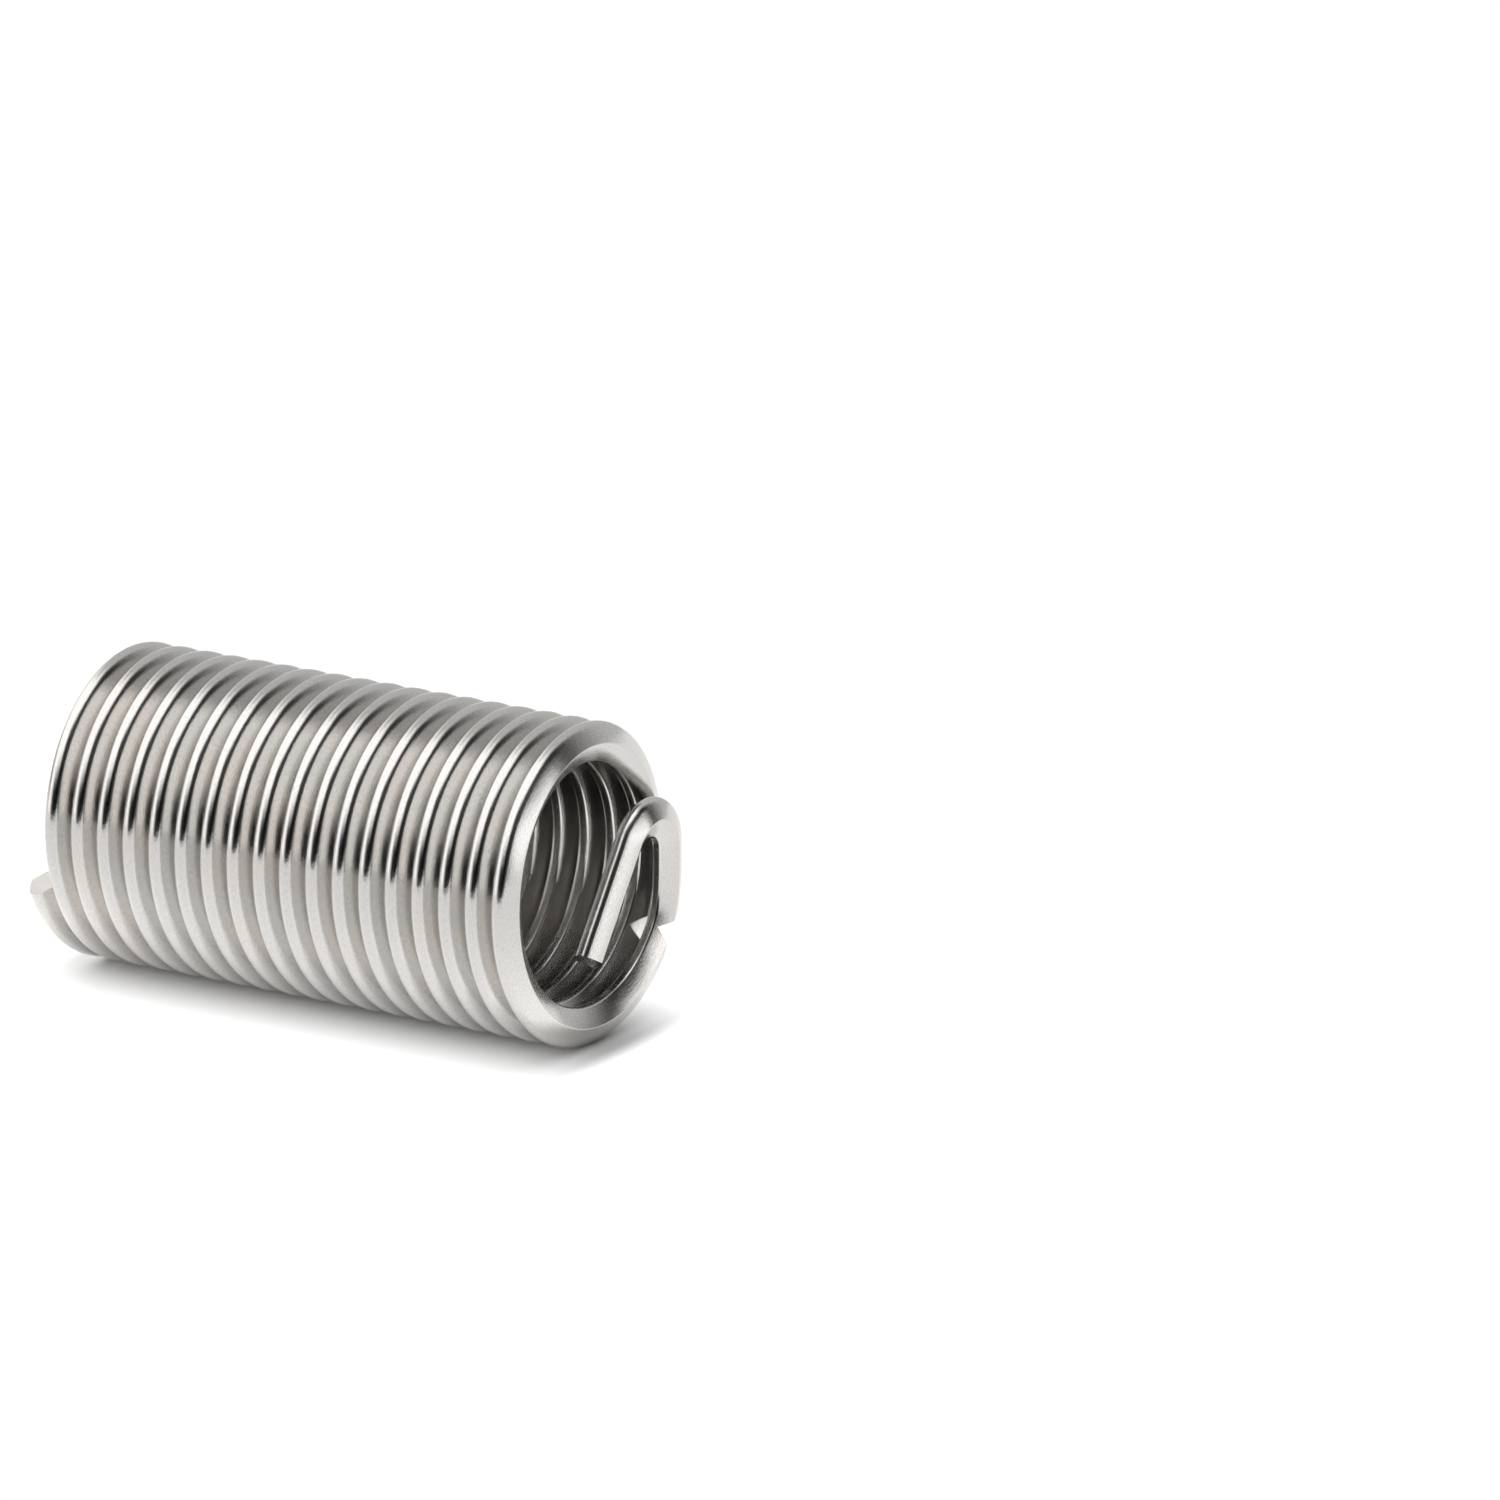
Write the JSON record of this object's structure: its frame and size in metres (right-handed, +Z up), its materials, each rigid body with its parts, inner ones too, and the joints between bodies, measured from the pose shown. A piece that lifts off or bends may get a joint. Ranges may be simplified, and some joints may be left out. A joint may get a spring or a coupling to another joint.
{
  "type": "helical thread insert",
  "caption": "Wire thread insert: one close-wound coil of diamond-section wire with a bent driving tang and a break-off notch.",
  "frame": {"origin": "middle of the object's box on the resting plane, under the lowest crests", "axes": "+X along the coil's axis towards the tang end, +Z up as the insert lies on its side"},
  "size_m": [0.018, 0.0096, 0.0097],
  "materials": {
    "stainless_wire": "bright drawn stainless wire with a fine grain along it"
  },
  "bodies": {
    "root": {"wire_coil": "stainless_wire"}
  },
  "joints": []
}
